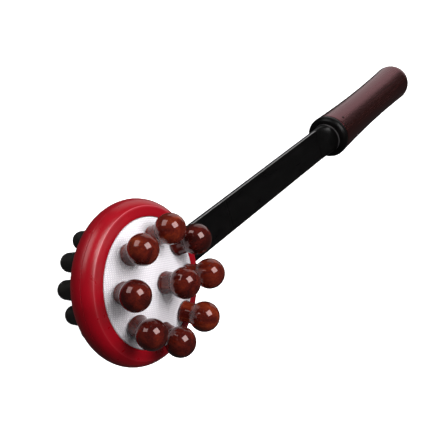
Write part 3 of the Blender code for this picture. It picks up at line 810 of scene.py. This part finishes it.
def make_nub_pad(material):
    """A plate with nubs, melted into one mould by a fine remesh. The nubs' tips all touch Z = 0."""
    plate = [
        (0.0, NUB_PAD_TOP_Z),
        (NUB_PAD_RADIUS, NUB_PAD_TOP_Z),
        (NUB_PAD_RADIUS, RIM_BACK_Z),
        (0.0, RIM_BACK_Z),
    ]
    outline = rounded(plate, NUB_PAD_EDGE)
    pad = lathe("rubber_nub_pad", outline, NUB_PAD_SEGMENTS, material, head_matrix())
    buried = RIM_BACK_Z + NUB_BURIED
    nub = [(0.0, buried), (NUB_BASE_RADIUS, buried), (NUB_BASE_RADIUS, RIM_BACK_Z)]
    tip_radii = (NUB_TIP_RADIUS, NUB_TIP_RADIUS)
    nub += arc((0.0, NUB_TIP_RADIUS), tip_radii, NUB_TIP_ARC_START, -90.0, 14)
    nub[-1] = (0.0, 0.0)
    bm = bmesh.new()
    for count, ring_radius, start in NUB_RINGS:
        for index in range(count):
            angle = start + index * math.tau / count
            mesh = lathe_mesh(nub, NUB_SEGMENTS)
            centre = (ring_radius * math.cos(angle), ring_radius * math.sin(angle), 0.0)
            mesh.transform(Matrix.Translation(centre))
            bm.from_mesh(mesh)
            bpy.data.meshes.remove(mesh)
    nubs = new_object("nubs", to_mesh(bm, "nubs"), None)
    nubs.matrix_world = head_matrix()
    combine(pad, nubs, "UNION")
    voxels = pad.modifiers.new("mould", "REMESH")
    voxels.mode = "VOXEL"
    voxels.voxel_size = MOULD_VOXEL
    smooth = pad.modifiers.new("smooth", "SMOOTH")
    smooth.factor = 0.5
    smooth.iterations = 5
    apply_modifiers(pad)
    lowest = min(vertex.co.z for vertex in pad.data.vertices)
    for vertex in pad.data.vertices:
        if vertex.co.z < RIM_BACK_Z:
            vertex.co.z -= lowest * (RIM_BACK_Z - vertex.co.z) / RIM_BACK_Z
    paint(pad.data, material)
    soften(pad, 180.0)
    settle(pad, "head", "black_rubber", "nub_pad")


def loft(name, stations, section, material):
    """A bar along X: at each (x, inset) station, the (across, up) section shrinks by the inset."""
    rings = []
    for x, inset in stations:
        ring = []
        for across, up in section:
            y = across - math.copysign(inset, across)
            ring.append((x, y, BAR_Z + up - math.copysign(inset, up)))
        rings.append(ring)
    return new_object(name, skin(rings), material)


def bar_stations(start, end):
    """Stations along a bar, with its two ends rounded off."""
    step = 0.0013
    round_off = 0.00025
    ends = [(0.0, 1.0), (0.3, 0.45), (0.65, 0.12), (1.0, 0.0)]
    stations = [(start + round_off * along, round_off * inset) for along, inset in ends]
    count = max(2, round((end - start) / step))
    stations += [(start + (end - start) * index / count, 0.0) for index in range(1, count)]
    stations += [(end - round_off * along, round_off * inset) for along, inset in reversed(ends)]
    return stations


def sleeve_section():
    """The sleeve's flat section: upright sides, small round edges and a slightly sunk face."""
    half_width = SLEEVE_WIDTH / 2
    half_height = SLEEVE_THICKNESS / 2
    edge = 0.0005
    side = [(half_width, 0.0)]
    side += arc((half_width - edge, half_height - edge), (edge, edge), 0.0, 90.0, 6)
    side += [
        (half_width - 0.0014, half_height - 0.00001),
        (half_width - 0.0024, half_height - 0.00008),
        (half_width - 0.0034, half_height - 0.00009),
        (half_width * 0.4, half_height - 0.00005),
    ]
    top = side + [(-across, up) for across, up in reversed(side)]
    return top[:-1] + [(-across, -up) for across, up in top[:-1]]


def strip_section():
    return rounded_section(STRIP_WIDTH / 2, STRIP_THICKNESS / 2, 0.0003, 2)


def sleeve_painted_highlight(place):
    """The sleeve is painted grey along its front edges: a painted highlight."""
    out = abs(place.y) - SLEEVE_WIDTH / 2
    up = place.z - (BAR_Z + SLEEVE_THICKNESS / 2 - 0.0002)
    return max(0.0, 1.0 - math.hypot(out, up) / SLEEVE_HIGHLIGHT_REACH)


def make_bar(sleeve_material, strip_material):
    """Sleeve and strip, each in a half towards the head and a half towards the grip."""
    half_seam = 0.00004
    strip_seam_x = SEAM_X + 0.0300
    strip_seam = 0.0001
    pieces = (
        ("sleeve_tip_half", SLEEVE_TIP_X, SEAM_X - half_seam),
        ("sleeve_root_half", SEAM_X + half_seam, SLEEVE_ROOT_X),
        ("strip_tip_half", STRIP_LOW.x, strip_seam_x),
        ("strip_root_half", strip_seam_x + strip_seam, STRIP_HIGH.x),
    )
    for name, start, end in pieces:
        is_sleeve = "sleeve" in name
        section = sleeve_section() if is_sleeve else strip_section()
        material = sleeve_material if is_sleeve else strip_material
        piece = loft(name, bar_stations(start, end), section, material)
        soften(piece, 40.0)
        if is_sleeve:
            # Painted highlight along the sleeve's front edges.
            mark_painted_highlight(piece, sleeve_painted_highlight)
        keep_coordinates(piece)
        if "tip" in name:
            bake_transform(piece)
        else:
            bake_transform(piece)
        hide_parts("bar_sleeve" if is_sleeve else "spring_strip")


def flare_section(position, sides, margin):
    """One section of the loft from the flat bar to the round boss, at position 0 to 1."""
    rise = 1.0 - math.sqrt(max(0.0, 1.0 - position**2))
    half_width = SLEEVE_WIDTH / 2 + (BOSS_RADIUS - SLEEVE_WIDTH / 2) * position + margin
    half_height = SLEEVE_THICKNESS / 2 + (BOSS_RADIUS - SLEEVE_THICKNESS / 2) * rise + margin
    roundness = 2.0 / (9.0 - 7.0 * position**0.5)
    points = []
    for side in range(sides):
        angle = math.tau * (side + 0.5) / sides
        across = math.copysign(abs(math.cos(angle)) ** roundness, math.cos(angle))
        up = math.copysign(abs(math.sin(angle)) ** roundness, math.sin(angle))
        points.append((half_width * across, half_height * up))
    return points


def boss_painted_highlight(own_place):
    """The ferrule is painted grey along its boss's front edge, on the upper side and the +Y side: a
    painted highlight.
    """
    place = grip_matrix() @ own_place
    centre_z = BAR_Z - math.tan(GRIP_DROP) * BOSS_FRONT
    radius = math.hypot(place.y, place.z - centre_z)
    away = math.hypot(radius - BOSS_RADIUS, place.x - (FERRULE_X + BOSS_FRONT))
    upper_side = 1.6 * (place.z - centre_z) / BOSS_RADIUS + 1.3 * place.y / BOSS_RADIUS
    return min(1.0, max(0.0, upper_side)) * max(0.0, 1.0 - away / BOSS_HIGHLIGHT_REACH)


def make_ferrule(material):
    """The turned cap and spigot, with the flare that the bar goes into."""
    shoulder = [
        (GRIP_RADIUS, CAP_END - 0.0008),
        (GRIP_RADIUS, CAP_FRONT + 0.0026),
        (GRIP_RADIUS - 0.0017, CAP_FRONT + 0.0006),
        (BOSS_RADIUS, CAP_FRONT),
    ]
    outline = [
        (0.0, SPIGOT_END),
        (SPIGOT_RADIUS - 0.0010, SPIGOT_END),
        (SPIGOT_RADIUS, SPIGOT_END - 0.0010),
        (SPIGOT_RADIUS, CAP_END),
        (GRIP_RADIUS - 0.0004, CAP_END),
        (GRIP_RADIUS - 0.00012, CAP_END - 0.00012),
    ]
    outline += rounded(shoulder, 0.0009, 6)
    outline += [(BOSS_RADIUS - 0.0010, CAP_FRONT), (0.0, CAP_FRONT)]
    ferrule = lathe("ferrule_cap", outline, GRIP_SEGMENTS, material, grip_matrix())
    sides = 72
    steps = 40
    wall = 0.00015
    front = ROOT_HINGE_X + 0.0002
    back = FERRULE_X + BOSS_FRONT
    # Each station is (x, position from bar to boss, margin).
    stations = [(front + wall, 0.0, -0.00004), (front, 0.0, 0.00006)]
    for step in range(1, steps + 1):
        position = math.sin(math.pi / 2 * step / steps)
        stations.append((front + (back - front) * position, position, wall))
    stations.append((FERRULE_X + 0.0015, 1.0, wall))
    rings = []
    for x, position, margin in sorted(stations):
        drop = math.tan(GRIP_DROP) * (x - FERRULE_X) * position
        section = flare_section(position, sides, margin)
        rings.append([(x, across, BAR_Z + up - drop) for across, up in section])
    combine(ferrule, new_object("flare", skin(rings), None), "UNION")
    paint(ferrule.data, material)
    soften(ferrule, 32.0)
    # Painted highlight along the boss's front edge.
    mark_painted_highlight(ferrule, boss_painted_highlight)
    settle(ferrule, "grip", "black_ferrule", "ferrule")


def grip_radius(height):
    """Radius of the grip along its axis: a slight waist, fuller at the ferrule than at the tip."""
    end, radius = (CAP_END, GRIP_RADIUS) if height < WAIST_AT else (TIP_CENTRE, TIP_RADIUS)
    share = (WAIST_AT - height) / (WAIST_AT - end)
    return WAIST_RADIUS + (radius - WAIST_RADIUS) * share**2


def make_grip(material):
    low = CAP_END + GAP * 0.5
    edge = 0.00015
    outline = arc((0.0, TIP_CENTRE), (TIP_RADIUS, TIP_RADIUS), 90.0, 0.0, 34)
    outline[0] = (0.0, TIP_CENTRE + TIP_RADIUS)
    steps = 60
    for step in range(1, steps + 1):
        height = TIP_CENTRE + (low + edge - TIP_CENTRE) * step / steps
        outline.append((grip_radius(height), height))
    full = grip_radius(low)
    outline += [
        (full - edge * 0.12, low + edge * 0.4),
        (full - edge * 0.45, low + edge * 0.1),
        (full - edge, low),
        (SPIGOT_RADIUS + GAP, low),
        (SPIGOT_RADIUS + GAP, SPIGOT_END + GAP),
        (0.0, SPIGOT_END + GAP),
    ]
    grip = lathe("turned_grip", outline, GRIP_SEGMENTS, material, grip_matrix())
    soften(grip, 45.0)
    settle(grip, "grip", "grip_wood", "wood_grip")


def dome_height(radius):
    return DOME_CENTRE_Z + math.sqrt(DOME_RADIUS**2 - radius**2)


def edge_roll():
    """Profile of the cloth past the dome, turning down into the rim: (radius, height) points."""
    slope = math.asin(ROLL_START / DOME_RADIUS)
    height = dome_height(ROLL_START)
    points = []
    steps = 9
    for step in range(1, steps + 1):
        angle = slope + (math.radians(90.0) - slope) * step / steps
        out = ROLL_RADIUS * (math.sin(angle) - math.sin(slope))
        down = ROLL_RADIUS * (math.cos(slope) - math.cos(angle))
        points.append((ROLL_START + out, height - down))
    radius, low = points[-1]
    return points + [(radius, low - 0.0007), (radius - 0.0001, low - 0.0014)]


def knob_foots():
    """Where each knob stands on the dome, about the head's axis."""
    foots = []
    for index in range(len(KNOB_RADII)):
        place = knob_matrix(index).translation
        foots.append(Vector((place.x - HEAD_X, place.y, place.z)))
    return foots


def press(radius, angle, foots):
    """How far the cloth is pulled down near the knobs, in metres, with a few small gathers."""
    x = radius * math.cos(angle)
    y = radius * math.sin(angle)
    depth = 0.0
    for foot in foots:
        away = math.hypot(x - foot.x, y - foot.y)
        if away > PULL_REACH:
            continue
        depth += PULL_DEPTH / (1.0 + math.exp((away - PULL_RADIUS) / PULL_FADE))
        bearing = math.atan2(y - foot.y, x - foot.x)
        around = (math.cos(bearing) * GATHER_RATE, math.sin(bearing) * GATHER_RATE)
        gather = noise.noise(Vector((*around, foot.x * GATHER_SEED)))
        depth += GATHER_DEPTH * gather * math.exp(-(((away - GATHER_RADIUS) / GATHER_WIDTH) ** 2))
    return depth


def cloth_mesh(foots):
    """The cloth on a polar grid, and which of its points the knobs and the rim hold."""
    ring_count = 46
    radii = [ROLL_START * ring / ring_count for ring in range(1, ring_count + 1)]
    profile = [(radius, dome_height(radius)) for radius in radii] + edge_roll()
    rings = [[(0.0, 0.0, DOME_CENTRE_Z + DOME_RADIUS)]]
    held = [True]
    for radius, height in profile:
        ring = []
        for index in range(CLOTH_SEGMENTS):
            angle = math.tau * index / CLOTH_SEGMENTS
            depth = press(radius, angle, foots) if radius < ROLL_START else 0.0
            point = Vector((radius * math.cos(angle), radius * math.sin(angle), height - depth))
            ring.append(point)
            nearest = min((point.xy - foot.xy).length for foot in foots)
            at_knob = nearest < KNOB_BASE_RADIUS + HELD_ROUND_KNOB
            held.append(at_knob or radius > ROLL_START - HELD_AT_RIM)
        rings.append(ring)
    return skin(rings, capped=False), held


def inflate(obj, held):
    """Swells the cloth between the knobs, as the foam under it does. It is simulated enlarged."""
    before = [vertex.co.copy() for vertex in obj.data.vertices]
    obj.data.transform(Matrix.Scale(SWELL_SCALE, 4))
    group = obj.vertex_groups.new(name="held")
    group.add([index for index, is_held in enumerate(held) if is_held], 1.0, "REPLACE")
    cloth = obj.modifiers.new("cloth", "CLOTH")
    settings = cloth.settings
    settings.quality = 6
    settings.mass = 0.2
    settings.tension_stiffness = 12.0
    settings.compression_stiffness = 12.0
    settings.shear_stiffness = 4.0
    settings.bending_stiffness = 0.4
    settings.vertex_group_mass = "held"
    settings.use_pressure = True
    settings.uniform_pressure_force = 9.0
    settings.effector_weights.gravity = 0.0
    cloth.collision_settings.use_collision = False
    cloth.collision_settings.use_self_collision = False
    cloth.point_cache.frame_start = 1
    cloth.point_cache.frame_end = SWELL_FRAMES
    for step in range(1, SWELL_FRAMES + 1):
        bpy.context.scene.frame_set(step)
    apply_modifiers(obj)
    obj.data.transform(Matrix.Scale(1.0 / SWELL_SCALE, 4))
    for vertex, rest in zip(obj.data.vertices, before):
        move = vertex.co - rest
        if move.length > SWELL_CAP:
            move = move.normalized() * SWELL_CAP
        vertex.co = rest + move
    obj.vertex_groups.clear()
    bpy.context.scene.frame_set(1)


def foam_outline():
    """A dome shell close under the cloth, down to the core: (radius, height) points."""
    inner = DOME_RADIUS - CLOTH_THICKNESS - 0.0006
    edge = PAD_RADIUS - CLOTH_THICKNESS - 0.0004
    low = CORE_TOP_Z + GAP
    top_angle = math.degrees(math.acos((edge - 0.0009) / inner))
    outline = arc((0.0, DOME_CENTRE_Z), (inner, inner), 90.0, top_angle, 30)
    outline[0] = (0.0, DOME_CENTRE_Z + inner)
    shoulder = outline[-1][1]
    outline += [(edge - 0.0003, shoulder - 0.0008), (edge, shoulder - 0.0018), (edge, low)]
    under = inner - FOAM_THICKNESS
    reach = math.sqrt(under**2 - (low - DOME_CENTRE_Z) ** 2)
    low_angle = math.degrees(math.acos(reach / under))
    lower = arc((0.0, DOME_CENTRE_Z), (under, under), 90.0, low_angle, 20)
    lower[0] = (0.0, DOME_CENTRE_Z + under)
    return outline + list(reversed(lower))


def make_cloth(material, foam_material):
    """The cloth, as one sheet that passes under the knobs, and the foam that fills it."""
    mesh, held = cloth_mesh(knob_foots())
    cover = new_object("pad_cover", mesh, material)
    inflate(cover, held)
    finer = cover.modifiers.new("finer", "SUBSURF")
    finer.levels = 1
    thick = cover.modifiers.new("thick", "SOLIDIFY")
    thick.thickness = CLOTH_THICKNESS
    thick.offset = -1.0
    apply_modifiers(cover)
    cover.matrix_world = head_matrix()
    settle(cover, "head", "white_cloth", "pad_cloth")
    foam = lathe("foam_dome", foam_outline(), FOAM_SEGMENTS, foam_material, head_matrix())
    settle(foam, "head", "foam", "pad_foam")


def make_camera():
    data = bpy.data.cameras.new("photo_camera")
    data.lens = CAMERA_LENS
    data.sensor_width = SENSOR
    data.clip_start = 0.01
    data.clip_end = 20.0
    camera = bpy.data.objects.new("photo_camera", data)
    camera.location = CAMERA_PLACE
    camera.rotation_euler = [math.radians(angle) for angle in CAMERA_TURN]
    bpy.context.scene.collection.objects.link(camera)
    bpy.context.scene.camera = camera


def make_floor():
    """A pale studio floor that sweeps up into a wall all round."""
    low = -FLOOR_DROP
    profile = [(0.0, low), (FLOOR_FLAT, low)]
    profile += arc((FLOOR_FLAT, low + FLOOR_SWEEP), (FLOOR_SWEEP, FLOOR_SWEEP), -90.0, 0.0, 12)
    profile.append((FLOOR_FLAT + FLOOR_SWEEP, FLOOR_WALL_TOP))
    mesh = lathe_mesh(profile, FLOOR_SEGMENTS, capped=False)
    glow = {"Emission_Color": WHITE, "Emission_Strength": FLOOR_GLOW}
    look = Look("pale_floor", Base_Color=FLOOR_COLOUR, Specular_IOR_Level=0.0, **glow)
    floor = new_object("floor", mesh, look.material, smooth=False)
    floor.visible_glossy = False
    floor.visible_diffuse = False
    floor.visible_shadow = False


def make_lights():
    """Each softbox shines at the head from its direction, at the same distance."""
    for name, direction, size, power, mirrored in SOFTBOXES:
        data = bpy.data.lights.new(name, "AREA")
        data.shape = "RECTANGLE"
        data.size, data.size_y = size
        data.energy = power
        light = bpy.data.objects.new(name, data)
        towards = Vector(direction).normalized()
        light.location = Vector((HEAD_X, 0.0, BAR_Z)) + towards * SOFTBOX_DISTANCE
        light.rotation_euler = towards.to_track_quat("Z", "Y").to_euler()
        light.visible_glossy = mirrored
        bpy.context.scene.collection.objects.link(light)
    world = bpy.data.worlds.new("studio")
    world.use_nodes = True
    background = world.node_tree.nodes["Background"]
    background.inputs["Color"].default_value = WHITE
    background.inputs["Strength"].default_value = WORLD_GLOW
    bpy.context.scene.world = world
    bpy.context.scene.view_settings.view_transform = "Standard"


def dress(material, *starts):
    """Gives the CAD nodes that are kept, and whose names start so, their finished material."""
    for name, node in frame["nodes"].items():
        if name.startswith(starts):
            paint(node.data, material)


make_camera()
make_floor()
make_lights()
make_knobs(lacquered_wood())
make_rim(red_plastic())
make_case_screws(steel("zinc_heads", ZINC, 0.24, 0.42, on_cad=False))
make_nub_pad(black_rubber())
make_cloth(white_cloth(), soft_foam())
rolled = steel("spring_steel", SPRING, 0.2, 0.4, on_cad=False, streak=(0.05, 1.0, 1.0))
make_bar(black_sleeve(), rolled)
make_ferrule(black_ferrule())
make_grip(grip_wood())
dress(steel("zinc_screws", ZINC, 0.24, 0.42), "knob_screw", "clamp_screw")
dress(steel("pin_steel", DARK_PIN, 0.40, 0.60), "grip_pin")
dress(pale_wood(), "head_core")
